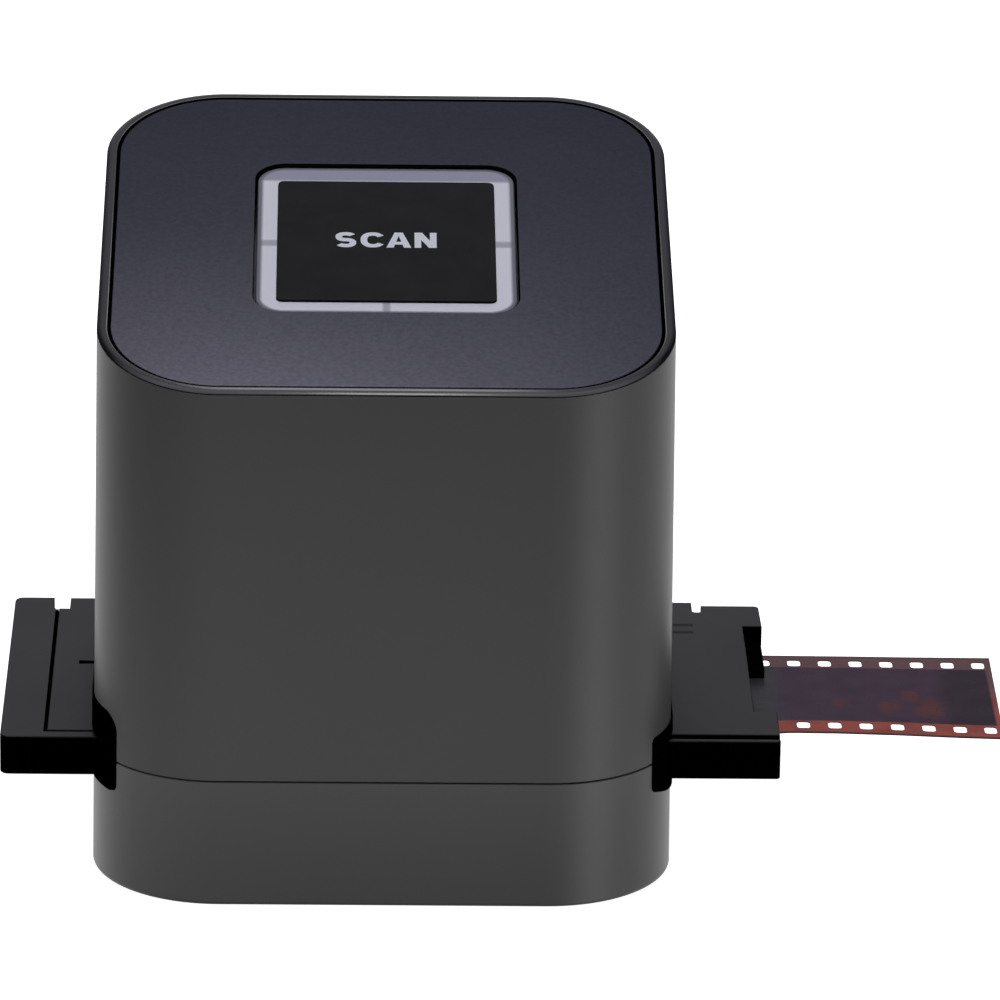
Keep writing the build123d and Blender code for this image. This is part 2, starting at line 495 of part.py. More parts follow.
# small wedge-shaped index mark at the left, two shallow ones at the right
mark = make_face(Polyline((-46.2, 0.7, 21.0), (-40.5, 1.15, 21.0), (-40.5, 1.85, 21.0), (-46.2, 2.3, 21.0), close=True))
cov = cov - extrude(mark, amount=5, dir=(0, 0, 1))
cov = cut_all(cov, [yz_prism(41.0, 48.2, [(y - 0.6, HOLD_Z1 + 0.01), (y + 0.6, HOLD_Z1 + 0.01), (y, HOLD_Z1 - 0.2)])
                    for y in (16.6, 19.8)])
cov = cut_all(cov, [cyl(x, y, 18, 20.2, 2.0) for x, y in MAG])
save("holder_cover", cov)

save("hinge_pins", [Pos(sx * 43.0, HX, HY) * Rotation(0, 90, 0) * Cylinder(0.8, 10.0) for sx in (-1, 1)])
save("catch_magnets", [cyl(x, y, z0, z0 + 1.2, 1.98) for x, y in MAG for z0 in (15.9, 19.0)])
save("film_brake_pad", box(55.95, 58.8, 7.2, 17.6, 17.75, 19.3) + box(55.95, 58.8, 17.5, 19.3, 18.65, 19.3))

# ---------------------------------------------------------------- film strip (slides)
strip = box(FILM_X0, FILM_X1, -FILM_W / 2, FILM_W / 2, FILM_Z0, FILM_Z0 + FILM_T)
holes = []
for i in range(-24, 7):
    for s in (-1, 1):
        holes.append(rr(PERF_L, PERF_H, 0.5, FILM_Z0 - 0.5, FILM_Z0 + 0.6, PERF_X0 + i * PERF_PITCH, s * PERF_ROW / 2))
strip = strip - holes
save("film_strip", strip)
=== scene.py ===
import json
import math

import bmesh
import bpy
from mathutils import Matrix, Vector


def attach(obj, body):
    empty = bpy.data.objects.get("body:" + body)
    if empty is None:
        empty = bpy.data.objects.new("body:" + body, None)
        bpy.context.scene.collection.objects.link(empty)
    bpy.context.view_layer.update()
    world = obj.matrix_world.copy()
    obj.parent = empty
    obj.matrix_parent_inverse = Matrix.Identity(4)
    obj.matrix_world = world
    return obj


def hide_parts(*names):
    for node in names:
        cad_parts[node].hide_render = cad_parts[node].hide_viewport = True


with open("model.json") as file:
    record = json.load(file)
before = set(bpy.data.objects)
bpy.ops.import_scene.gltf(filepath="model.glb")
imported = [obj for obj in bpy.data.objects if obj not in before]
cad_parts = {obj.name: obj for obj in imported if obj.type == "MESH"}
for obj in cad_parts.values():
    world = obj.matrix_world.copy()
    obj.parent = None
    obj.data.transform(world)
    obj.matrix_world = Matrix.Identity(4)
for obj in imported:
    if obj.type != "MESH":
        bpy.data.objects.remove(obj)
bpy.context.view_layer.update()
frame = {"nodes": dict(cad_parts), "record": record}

NODES = frame["nodes"]

# ------------------------------------------------------------------ dimensions, metres
MM = 0.001
BODY_W, BODY_D, BODY_R = 86.6 * MM, 88.0 * MM, 19.0 * MM
BODY_Z0, TAN_DRAFT = 0.5 * MM, math.tan(math.radians(0.5))
TOP_FRONT_Z = 80.31 * MM
SLOPE = math.radians(12.90)
RIM_W, RIM_H, EDGE_IN, EDGE_DOWN = 1.58 * MM, 0.34 * MM, 0.75 * MM, 0.30 * MM
BTN_V = 45.73 * MM
FRAME_W, FRAME_L, FRAME_R = 38.85 * MM, 43.15 * MM, 4.3 * MM
PLATE_V, PLATE_W, PLATE_L, PLATE_R, PLATE_TOP = 45.02 * MM, 32.6 * MM, 35.2 * MM, 0.9 * MM, -0.20 * MM
FILM_X0, FILM_X1, FILM_W = -53.3 * MM, 94.2 * MM, 35.0 * MM
FILM_Z0, FILM_T = 17.52 * MM, 0.15 * MM
PERF_X0, PERF_PITCH = 63.69 * MM, 4.75 * MM
PERF_L, PERF_H, PERF_ROW, PERF_R = 1.98 * MM, 2.80 * MM, 28.17 * MM, 0.55 * MM
TOP = Matrix.Translation((0, -BODY_D / 2, TOP_FRONT_Z)) @ Matrix.Rotation(SLOPE, 4, "X")


# ------------------------------------------------------------------ node helpers
class Tree:
    """a small builder for one material's nodes"""

    def __init__(self, name):
        self.mat = bpy.data.materials.new(name)
        self.mat.use_nodes = True
        self.t = self.mat.node_tree
        self.t.nodes.clear()
        self.out = self.t.nodes.new("ShaderNodeOutputMaterial")
        self.bsdf = self.t.nodes.new("ShaderNodeBsdfPrincipled")
        self.link(self.bsdf.outputs[0], self.out.inputs[0])
        self.coord = self.t.nodes.new("ShaderNodeTexCoord").outputs["Object"]

    def link(self, a, b):
        self.t.links.new(a, b)

    def new(self, kind, **props):
        n = self.t.nodes.new(kind)
        for k, v in props.items():
            setattr(n, k, v)
        return n

    def put(self, node, name, value):
        if hasattr(value, "is_output"):
            self.link(value, node.inputs[name])
        else:
            node.inputs[name].default_value = value

    def noise(self, scale, detail=3.0, rough=0.55, coord=None, distortion=0.0):
        n = self.new("ShaderNodeTexNoise")
        self.link(coord or self.coord, n.inputs["Vector"])
        n.inputs["Scale"].default_value = scale
        n.inputs["Detail"].default_value = detail
        n.inputs["Roughness"].default_value = rough
        n.inputs["Distortion"].default_value = distortion
        return n.outputs["Fac"]

    def remap(self, value, a, b, lo, hi, smooth=False):
        n = self.new("ShaderNodeMapRange")
        n.clamp = True
        if smooth:
            n.interpolation_type = "SMOOTHSTEP"
        self.link(value, n.inputs["Value"])
        for k, v in (("From Min", a), ("From Max", b), ("To Min", lo), ("To Max", hi)):
            self.put(n, k, v)
        return n.outputs["Result"]

    def math(self, op, a, b=None, c=None, clamp=False):
        n = self.new("ShaderNodeMath", operation=op, use_clamp=clamp)
        for i, v in enumerate((a, b, c)):
            if v is None:
                continue
            if hasattr(v, "is_output"):
                self.link(v, n.inputs[i])
            else:
                n.inputs[i].default_value = v
        return n.outputs[0]

    def mix(self, fac, a, b, blend="MIX"):
        n = self.new("ShaderNodeMix", data_type="RGBA", blend_type=blend)
        for sock, v in ((n.inputs[0], fac), (n.inputs[6], a), (n.inputs[7], b)):
            if hasattr(v, "is_output"):
                self.link(v, sock)
            else:
                sock.default_value = (*v, 1.0) if isinstance(v, tuple) and len(v) == 3 else v
        return n.outputs[2]

    def xyz(self, coord=None):
        n = self.new("ShaderNodeSeparateXYZ")
        self.link(coord or self.coord, n.inputs[0])
        return n.outputs[0], n.outputs[1], n.outputs[2]

    def bump(self, height, strength, distance, normal=None):
        n = self.new("ShaderNodeBump")
        n.inputs["Strength"].default_value = strength
        n.inputs["Distance"].default_value = distance
        self.link(height, n.inputs["Height"])
        if normal is not None:
            self.link(normal, n.inputs["Normal"])
        return n.outputs[0]

    def set(self, **kw):
        names = {
            "color": "Base Color", "rough": "Roughness", "metal": "Metallic", "spec": "Specular IOR Level",
            "ior": "IOR", "normal": "Normal", "coat": "Coat Weight", "coat_rough": "Coat Roughness",
            "trans": "Transmission Weight", "alpha": "Alpha", "sheen": "Sheen Weight", "sheen_rough": "Sheen Roughness",
            "emit": "Emission Color", "emit_strength": "Emission Strength", "sub": "Subsurface Weight",
            "sub_scale": "Subsurface Scale",
        }
        for k, v in kw.items():
            if isinstance(v, tuple) and len(v) == 3 and k != "normal":
                v = (*v, 1.0)
            self.put(self.bsdf, names[k], v)
        return self.mat


def grain(name, dark, light, rough, spec, cell=2600.0, bump=0.12, depth=0.00004, large=60.0, coat=0.0, vary=0.06):
    """moulded plastic: broad tone drift, fine speckle and a pebbled surface"""
    t = Tree(name)
    broad = t.noise(large, 2.0, 0.5)
    fine = t.noise(cell, 3.0, 0.6)
    tone = t.math("ADD", t.math("MULTIPLY", broad, 0.55), t.math("MULTIPLY", fine, 0.45))
    col = t.mix(t.remap(tone, 0.35, 0.65, 0.0, 1.0), dark, light)
    r = t.remap(t.noise(large * 3.1, 4.0, 0.6), 0.3, 0.7, rough - vary, rough + vary)
    n = t.bump(fine, bump, depth)
    t.set(color=col, rough=r, spec=spec, normal=n, coat=coat)
    return t.mat


def metal(name, a, b, rough, cell=900.0, brushed=None):
    t = Tree(name)
    coord = t.coord
    if brushed:
        m = t.new("ShaderNodeMapping")
        t.link(t.coord, m.inputs["Vector"])
        m.inputs["Scale"].default_value = brushed
        coord = m.outputs[0]
    f = t.noise(cell, 4.0, 0.6, coord)
    col = t.mix(t.remap(f, 0.3, 0.7, 0.0, 1.0), a, b)
    t.set(color=col, metal=1.0, rough=t.remap(f, 0.3, 0.7, rough * 0.8, rough * 1.25), normal=t.bump(f, 0.08, 0.00003))
    return t.mat


M = {}
M["housing_grey"] = grain("housing_satin_grey", (0.078, 0.078, 0.079), (0.084, 0.084, 0.085), 0.40, 0.42, cell=3600.0, bump=0.04, depth=0.00002, large=16.0, vary=0.015)
M["rim_black"] = grain("rim_polished_black", (0.004, 0.004, 0.006), (0.005, 0.005, 0.007), 0.13, 0.42, cell=1200.0, bump=0.01, depth=0.00001, large=90.0, vary=0.02)
M["black_plastic"] = grain("black_matte_plastic", (0.0012, 0.0012, 0.0013), (0.0020, 0.0020, 0.0022), 0.5, 0.08, cell=3200.0, bump=0.06, depth=0.00002)
# painted shade: near-black, sheenless finish that stands for the shade in the rim groove, the bezel and the mouths
M["groove_black"] = grain("painted_shade_black", (0.0004, 0.0004, 0.0004), (0.0007, 0.0007, 0.0008), 0.8, 0.0, cell=3400.0, bump=0.05, depth=0.00002)


def holder_material(name):
    """fine satin on the upper faces; below the top, the sides and recesses are painted near black as shade, without
    sheen
    """
    t = Tree(name)
    x, y, z = t.xyz()
    unshaded_top = t.remap(z, 0.02150, 0.02175, 0.0, 1.0, True)
    fine = t.noise(3400.0, 3.0, 0.6)
    broad = t.noise(30.0, 2.0, 0.5)
    tone = t.math("ADD", t.math("MULTIPLY", broad, 0.4), t.math("MULTIPLY", fine, 0.6))
    sat = t.mix(t.remap(tone, 0.35, 0.65, 0.0, 1.0), (0.0014, 0.0014, 0.0017), (0.0023, 0.0023, 0.0027))
    # painted shade: everything below the top faces takes a near-black colour
    col = t.mix(unshaded_top, (0.0004, 0.0004, 0.0004), sat)
    t.set(color=col, rough=t.remap(broad, 0.3, 0.7, 0.40, 0.44), spec=t.math("MULTIPLY", unshaded_top, 0.24), normal=t.bump(fine, 0.05, 0.00002))
    return t.mat


M["holder_black"] = holder_material("holder_matte_black")
M["button_black"] = grain("button_satin_black", (0.0070, 0.0070, 0.0078), (0.0085, 0.0085, 0.0094), 0.45, 0.08, cell=3000.0, bump=0.04, depth=0.00002)
M["mat_rubber"] = grain("soft_rubber", (0.012, 0.012, 0.012), (0.022, 0.022, 0.022), 0.8, 0.3, cell=1800.0, bump=0.25, depth=0.00008)
M["board_green"] = grain("board_solder_mask", (0.008, 0.07, 0.03), (0.015, 0.10, 0.05), 0.35, 0.5, cell=500.0, bump=0.1)
M["chip_black"] = grain("chip_moulded", (0.012, 0.012, 0.012), (0.02, 0.02, 0.02), 0.6, 0.4, cell=4000.0, bump=0.15)
M["led_white"] = grain("white_package", (0.62, 0.61, 0.55), (0.75, 0.74, 0.68), 0.45, 0.5, cell=1500.0, bump=0.05)
M["reflector_white"] = grain("white_reflector", (0.75, 0.75, 0.75), (0.84, 0.84, 0.84), 0.7, 0.3, cell=1500.0, bump=0.05)
M["ribbon_white"] = grain("flat_cable", (0.55, 0.57, 0.62), (0.66, 0.68, 0.72), 0.45, 0.4, cell=1100.0, bump=0.05)
M["felt"] = grain("black_flock", (0.0005, 0.0005, 0.0005), (0.0012, 0.0012, 0.0012), 0.95, 0.0, cell=5200.0, bump=0.6, depth=0.0001)
M["screw_steel"] = metal("zinc_steel", (0.42, 0.42, 0.43), (0.56, 0.56, 0.57), 0.32, 1400.0)
M["spring_steel"] = metal("spring_steel_bright", (0.46, 0.46, 0.47), (0.6, 0.6, 0.61), 0.28, 700.0, (1, 14, 1))
M["barrel_black"] = metal("anodised_black", (0.02, 0.02, 0.021), (0.035, 0.035, 0.036), 0.42, 1500.0)
M["socket_steel"] = metal("nickel_shell", (0.52, 0.51, 0.5), (0.66, 0.65, 0.64), 0.24, 900.0, (1, 1, 10))


def opal(name):
    t = Tree(name)
    f = t.noise(700.0, 3.0)
    t.set(color=t.mix(f, (0.78, 0.78, 0.78), (0.86, 0.86, 0.86)), rough=t.remap(f, 0.3, 0.7, 0.35, 0.5), sub=0.3, sub_scale=0.002)
    return t.mat


def lens_glass(name):
    t = Tree(name)
    f = t.noise(150.0, 2.0)
    t.set(color=t.mix(f, (0.82, 0.9, 0.93), (0.9, 0.88, 0.95)), rough=t.remap(f, 0.3, 0.7, 0.01, 0.04), trans=0.9, ior=1.52)
    return t.mat


M["opal"] = opal("opal_diffuser")
M["lens_glass"] = lens_glass("coated_glass")


def panel_material(name):
    """fine mottled blue-black texture"""
    t = Tree(name)
    broad = t.noise(30.0, 2.0, 0.5)
    cells = t.noise(1300.0, 2.0, 0.65)
    fine = t.noise(3600.0, 2.0, 0.5)
    tone = t.math("ADD", t.math("MULTIPLY", broad, 0.3), t.math("MULTIPLY", cells, 0.7))
    col = t.mix(t.remap(tone, 0.36, 0.64, 0.0, 1.0), (0.0270, 0.0270, 0.0410), (0.0360, 0.0360, 0.0545))
    mp = t.new("ShaderNodeMapping", vector_type="POINT")
    inv = TOP.inverted()
    mp.inputs["Location"].default_value = inv.to_translation()
    mp.inputs["Rotation"].default_value = inv.to_euler("XYZ")
    t.link(t.coord, mp.inputs["Vector"])
    w = t.xyz(mp.outputs[0])[2]
    # painted shade: the panel's side walls below its top face, along the groove and round the opening, are made near
    # black
    col = t.mix(t.remap(w, -0.00018, -0.00006, 1.0, 0.0, True), col, (0.0010, 0.0010, 0.0014))
    n1 = t.bump(cells, 0.12, 0.00008)
    n2 = t.bump(fine, 0.08, 0.00003, n1)
    t.set(color=col, rough=t.remap(cells, 0.3, 0.7, 0.46, 0.54), spec=0.04, normal=n2)
    return t.mat


M["panel_black"] = panel_material("panel_textured_blue_black")


def frame_material(name):
    """milky clear ring, pale inside; painted shade greys its sloped outer edge, turns the back band lilac and adds
    three soft dark rib shadows at left, right and front
    """
    t = Tree(name)
    mp = t.new("ShaderNodeMapping", vector_type="POINT")
    inv = TOP.inverted()
    mp.inputs["Location"].default_value = inv.to_translation()
    mp.inputs["Rotation"].default_value = inv.to_euler("XYZ")
    t.link(t.coord, mp.inputs["Vector"])
    x, v, w = t.xyz(mp.outputs[0])
    vv = t.math("SUBTRACT", v, BTN_V)
    ax, av = t.math("ABSOLUTE", x), t.math("ABSOLUTE", vv)
    # distance inwards from the rounded outer edge
    dx = t.math("MAXIMUM", t.math("SUBTRACT", ax, FRAME_W / 2 - FRAME_R), 0.0)
    dv = t.math("MAXIMUM", t.math("SUBTRACT", av, FRAME_L / 2 - FRAME_R), 0.0)
    corner = t.math("SQRT", t.math("ADD", t.math("MULTIPLY", dx, dx), t.math("MULTIPLY", dv, dv)))
    inner = t.math("SUBTRACT", FRAME_R, corner)
    # painted shade: grey across the sloped outer edge
    edge_shade_fade = t.remap(inner, 0.0005, 0.0011, 0.0, 1.0, True)
    tone = t.noise(1400.0, 2.0, 0.5)
    pale = t.mix(t.remap(tone, 0.3, 0.7, 0.0, 1.0), (0.90, 0.90, 0.97), (0.915, 0.915, 0.98))
    shaded_lilac = t.mix(t.remap(tone, 0.3, 0.7, 0.0, 1.0), (0.36, 0.355, 0.46), (0.37, 0.365, 0.475))
    # painted shade: the back band is a shaded lilac instead of pale
    back_band_shade = t.remap(vv, 0.0170, 0.0180, 0.0, 1.0, True)
    col = t.mix(edge_shade_fade, (0.145, 0.145, 0.175), t.mix(back_band_shade, pale, shaded_lilac))
    # painted shade: soft dark rib shadows at left, right and front
    side_v = t.math("ABSOLUTE", t.math("ADD", vv, 0.00115))
    tick_v = t.math("MULTIPLY", t.remap(side_v, 0.0005, 0.0012, 1.0, 0.0, True), t.remap(ax, 0.010, 0.011, 0.0, 1.0))
    tick_x = t.math("MULTIPLY", t.remap(ax, 0.0003, 0.0008, 1.0, 0.0, True), t.remap(vv, -0.011, -0.010, 1.0, 0.0))
    rib_shade = t.math("MULTIPLY", t.math("MAXIMUM", tick_x, tick_v), 0.55)
    col = t.mix(rib_shade, col, (0.13, 0.13, 0.15))
    t.set(color=col, rough=t.remap(tone, 0.3, 0.7, 0.26, 0.27), spec=0.5, coat=0.3)
    return t.mat


M["clear_frame"] = frame_material("milky_clear_ring")


def film_material(name):
    """developed colour negative: orange-brown base, darker purple picture areas with soft abstract blotches"""
    t = Tree(name)
    x, y, z = t.xyz()
    ay = t.math("ABSOLUTE", y)
    pitch = 0.038
    ph = t.math("MODULO", t.math("ADD", x, 10 * pitch - 0.0573), pitch)
    in_x = t.math("MULTIPLY", t.remap(ph, 0.0, 0.0005, 0.0, 1.0), t.remap(ph, 0.0357, 0.0361, 1.0, 0.0))
    in_y = t.remap(ay, 0.0119, 0.0123, 1.0, 0.0)
    pic = t.math("MULTIPLY", in_x, in_y)
    warm = t.mix(t.noise(180.0, 3.0), (0.40, 0.075, 0.045), (0.48, 0.09, 0.055))
    cool = t.mix(t.noise(180.0, 3.0), (0.15, 0.070, 0.072), (0.18, 0.085, 0.085))
    base = t.mix(t.remap(y, -0.004, 0.006, 0.0, 1.0, True), warm, cool)
    base = t.mix(t.remap(ay, 0.01675, 0.01725, 0.0, 0.85, True), base, (0.030, 0.020, 0.020))
    patch = t.noise(150.0, 2.0, 0.5)
    base = t.mix(t.remap(patch, 0.5, 0.7, 0.0, 0.45, True), base, (0.15, 0.045, 0.035))
    blot = t.noise(95.0, 3.0, 0.55, distortion=0.5)
    blot2 = t.noise(230.0, 2.0, 0.5)
    img = t.mix(t.remap(blot, 0.50, 0.72, 0.0, 0.25, True), (0.052, 0.0205, 0.047), (0.085, 0.024, 0.036))
    img = t.mix(t.math("MULTIPLY", t.remap(blot2, 0.5, 0.75, 0.0, 1.0, True), 0.4), img, (0.026, 0.020, 0.038))
    red = None
    for bx, by, br in ((0.0774, -0.0055, 0.0016), (0.0836, -0.0058, 0.0024), (0.0808, 0.0000, 0.0014), (0.0700, -0.0040, 0.0013)):
        ex = t.math("DIVIDE", t.math("SUBTRACT", x, bx), br)
        ey = t.math("DIVIDE", t.math("SUBTRACT", y, by), br * 1.7)
        q = t.math("ADD", t.math("MULTIPLY", ex, ex), t.math("MULTIPLY", ey, ey))
        q = t.math("ADD", q, t.math("MULTIPLY", t.math("SUBTRACT", t.noise(330.0, 3.0, 0.6, distortion=0.8), 0.5), 5.5))
        q = t.remap(q, 0.3, 1.7, 1.0, 0.0, True)
        red = q if red is None else t.math("MAXIMUM", red, q)
    img = t.mix(t.math("MULTIPLY", red, 0.8), img, (0.120, 0.022, 0.022))
    dim = t.remap(x, 0.0840, 0.0875, 0.0, 0.75, True)
    img = t.mix(dim, img, (0.015, 0.005, 0.013))
    col = t.mix(pic, base, img)
    # painted shade: the film beside the felt pad is washed flat grey as the pad's shade
    pad_shade = t.remap(x, 0.0590, 0.0620, 1.0, 0.0, True)
    pad_shade = t.math("MULTIPLY", pad_shade, t.math("MULTIPLY", in_y, t.remap(x, 0.0535, 0.0550, 0.0, 1.0, True)))
    col = t.mix(pad_shade, col, (0.046, 0.046, 0.054))
    t.set(color=col, rough=t.remap(blot2, 0.3, 0.7, 0.25, 0.35), spec=0.04)
    return t.mat


M["film_base"] = film_material("negative_film")

slots = {s["node"]: s["material_slot"] for s in frame["record"]["subparts"]}
# painted shade: the bezel and both mouth frames take the near-black shade finish instead of their own
for name, obj in NODES.items():
    m = M["groove_black"] if name in ("top_bezel", "left_mouth_frame", "right_mouth_frame") else M[slots[name]]
    if obj.data.materials:
        for i in range(len(obj.data.materials)):
            obj.data.materials[i] = m
    else:
        obj.data.materials.append(m)


# ------------------------------------------------------------------ rim with a softly rounded outer edge
def outline(inset, w, n=26, runs=24):
    """closed outline of the drafted body on the plane w above the sloping top"""
    pts = []
    for sx, sy, a0 in ((1, 1, 0), (-1, 1, 90), (-1, -1, 180), (1, -1, 270)):
        arc = [(sx, sy, math.radians(a0 + 90.0 * i / n)) for i in range(n + 1)]
        nxt = {(1, 1): (-1, 1), (-1, 1): (-1, -1), (-1, -1): (1, -1), (1, -1): (1, 1)}[(sx, sy)]
        pts += [(a, None, 0.0) for a in arc]
        pts += [(arc[-1], (nxt[0], nxt[1], math.radians(a0 + 90.0)), i / runs) for i in range(1, runs)]

    def place(spec, z):
        k = (z - BODY_Z0) * TAN_DRAFT + inset
        r = BODY_R - k
        sx, sy, a = spec
        return (sx * (BODY_W / 2 - BODY_R) + r * math.cos(a), sy * (BODY_D / 2 - BODY_R) + r * math.sin(a))

    out = []
    for a, b, f in pts:
        z = 0.09
        for _ in range(8):
            x, y = place(a, z)
            if b is not None:
                x2, y2 = place(b, z)
                x, y = x + (x2 - x) * f, y + (y2 - y) * f
            z = TOP_FRONT_Z + (y + BODY_D / 2) * math.tan(SLOPE) + w / math.cos(SLOPE)
        out.append(Vector((x, y, z)))
    return out


def loops_to_mesh(name, loops):
    """closed tube from a ring of closed loops"""
    bm = bmesh.new()
    rows = [[bm.verts.new(p) for p in loop] for loop in loops]
    for a, b in zip(rows, rows[1:] + rows[:1]):
        for i in range(len(a)):
            j = (i + 1) % len(a)
            bm.faces.new((a[i], a[j], b[j], b[i]))
    bmesh.ops.recalc_face_normals(bm, faces=bm.faces)
    for f in bm.faces:
        f.smooth = True
    me = bpy.data.meshes.new(name)
    bm.to_mesh(me)
    bm.free()
    o = bpy.data.objects.new(name, me)
    bpy.context.scene.collection.objects.link(o)
    return o


def rim():
    prof = [(0.0, -RIM_H)]
    for i in range(13):
        a = math.radians(90.0 * i / 12)
        inset = EDGE_IN * (1 - math.cos(a))
        round_w = -EDGE_DOWN * (1 - math.sin(a))
        chord_w = -EDGE_DOWN * (1 - inset / EDGE_IN)
        prof.append((inset, 0.5 * (round_w + chord_w)))
    prof += [(EDGE_IN + 0.2 * MM, 0.0), (RIM_W - 0.2 * MM, 0.0), (RIM_W - 0.07 * MM, -0.004 * MM), (RIM_W - 0.02 * MM, -0.03 * MM),
             (RIM_W, -0.10 * MM), (RIM_W, -RIM_H)]
    o = loops_to_mesh("rim_ring", [outline(a, b) for a, b in prof])
    o.data.materials.append(M["rim_black"])
    o.data.materials.append(M["groove_black"])
    # painted shade: the groove's inner wall faces take the near-black shade finish
    n = len(o.data.vertices) // len(prof)
    for f in o.data.polygons:
        if min(f.vertices) // n >= len(prof) - 4 and max(f.vertices) // n >= len(prof) - 3:
            f.material_index = 1
    for vert in o.data.vertices:
        vert.co.z -= 0.000003
    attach(o, "scanner")
    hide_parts("top_rim")
    return o


rim_ring = rim()


# ------------------------------------------------------------------ film strip with a slight curl in its free end
NEAR = [(45, 0.0), (54.5, 0.10), (59.3, 0.70), (61.5, 0.86), (68.4, 0.82), (73.2, 0.70), (77.9, 0.58), (82.7, 0.40), (87.4, 0.22), (94.2, 0.05)]
FAR = [(45, 0.0), (60, 0.10), (68.0, 0.06), (73.0, 0.04), (77.9, 0.0), (82.7, -0.03), (94.2, -0.06)]


def lerp_table(x, rows):
    if x <= rows[0][0]:
        return rows[0][1]
    for (a, p), (b, q) in zip(rows, rows[1:]):
        if x <= b:
            return p + (q - p) * (x - a) / (b - a)
    return rows[-1][1]


def film():
    z_mid = FILM_Z0 + FILM_T / 2
    hw = FILM_W / 2
    xs, ys, holes = {FILM_X0, FILM_X1}, {-hw, hw, 0.0, -0.006, 0.006, -0.0115, 0.0115}, []
    centres = [PERF_X0 + i * PERF_PITCH for i in range(-24, 7)]
    for cx in centres:
        xs |= {cx - PERF_L / 2, cx - PERF_L / 2 + PERF_R, cx + PERF_L / 2 - PERF_R, cx + PERF_L / 2, cx + PERF_PITCH / 2}
    for sy in (-1, 1):
        cy = sy * PERF_ROW / 2
        ys |= {cy - PERF_H / 2, cy - PERF_H / 2 + PERF_R, cy + PERF_H / 2 - PERF_R, cy + PERF_H / 2}
        holes += [(cx, cy) for cx in centres]
    xs = sorted(round(v, 9) for v in xs if FILM_X0 <= v <= FILM_X1)
    ys = sorted(round(v, 9) for v in ys)
    bm = bmesh.new()
    cache = {}

    def vert(x, y):
        key = (round(x, 8), round(y, 8))
        if key not in cache:
            e = FILM_X1 - 0.00015 + 0.00015 * (y / hw)
            xx = x if x < 0.090 else 0.090 + (x - 0.090) * (e - 0.090) / (FILM_X1 - 0.090)
            mm = x * 1000
            lo, hi = lerp_table(mm, NEAR), lerp_table(mm, FAR)
            k = (y + hw) / FILM_W
            cache[key] = bm.verts.new((xx, y, z_mid + FILM_T / 2 + (lo + (hi - lo) * k) * MM))
        return cache[key]

    def state(xa, xb, ya, yb):
        """None for film, 'hole', or the hole's corner that this cell rounds off"""
        mx, my = (xa + xb) / 2, (ya + yb) / 2
        for cx, cy in holes:
            if abs(mx - cx) < PERF_L / 2 and abs(my - cy) < PERF_H / 2:
                sx, sy = (1 if mx > cx else -1), (1 if my > cy else -1)
                if abs(mx - cx) > PERF_L / 2 - PERF_R and abs(my - cy) > PERF_H / 2 - PERF_R:
                    return (cx, cy, sx, sy)
                return "hole"
        return None

    for xa, xb in zip(xs, xs[1:]):
        for ya, yb in zip(ys, ys[1:]):
            st = state(xa, xb, ya, yb)
            if st == "hole":
                continue
            if st is None:
                bm.faces.new((vert(xa, ya), vert(xb, ya), vert(xb, yb), vert(xa, yb)))
                continue
            cx, cy, sx, sy = st
            ox, oy = cx + sx * PERF_L / 2, cy + sy * PERF_H / 2
            ax, ay = ox - sx * PERF_R, oy - sy * PERF_R
            arc = [(ax + sx * PERF_R * math.cos(math.radians(q)), ay + sy * PERF_R * math.sin(math.radians(q))) for q in (0, 22.5, 45, 67.5, 90)]
            loop = [vert(ox, oy)] + [vert(*p) for p in arc]
            if sx * sy > 0:
                loop.reverse()
            try:
                bm.faces.new(loop)
            except ValueError:
                pass
    me = bpy.data.meshes.new("negative_strip")
    bmesh.ops.recalc_face_normals(bm, faces=bm.faces)
    if sum(f.normal.z for f in bm.faces) < 0:
        bmesh.ops.reverse_faces(bm, faces=bm.faces)
    bm.to_mesh(me)
    bm.free()
    o = bpy.data.objects.new("negative_strip", me)
    bpy.context.scene.collection.objects.link(o)
    me.materials.append(M["film_base"])
    mod = o.modifiers.new("thickness", "SOLIDIFY")
    mod.thickness = FILM_T
    mod.offset = -1.0
    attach(o, "film")
    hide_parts("film_strip")
    return o


film()


# ------------------------------------------------------------------ legend on the button
def stroke(points, half):
    """thick line along points; the ends are cut square. Returns quads as corner lists"""
    quads, sides = [], []
    for i, p in enumerate(points):
        a, b = points[max(i - 1, 0)], points[min(i + 1, len(points) - 1)]
        dx, dy = b[0] - a[0], b[1] - a[1]
        k = math.hypot(dx, dy)
        nx, ny = -dy / k, dx / k
        sides.append(((p[0] + nx * half, p[1] + ny * half), (p[0] - nx * half, p[1] - ny * half)))
    for (a, b), (c, d) in zip(sides, sides[1:]):
        quads.append([a, b, d, c])
    return quads


def arc(cx, cy, rx, ry, a0, a1, n=18, p=2.35):
    out = []
    for i in range(n + 1):
        a = math.radians(a0 + (a1 - a0) * i / n)
        c, s_ = math.cos(a), math.sin(a)
        out.append((cx + rx * math.copysign(abs(c) ** (2 / p), c), cy + ry * math.copysign(abs(s_) ** (2 / p), s_)))
    return out


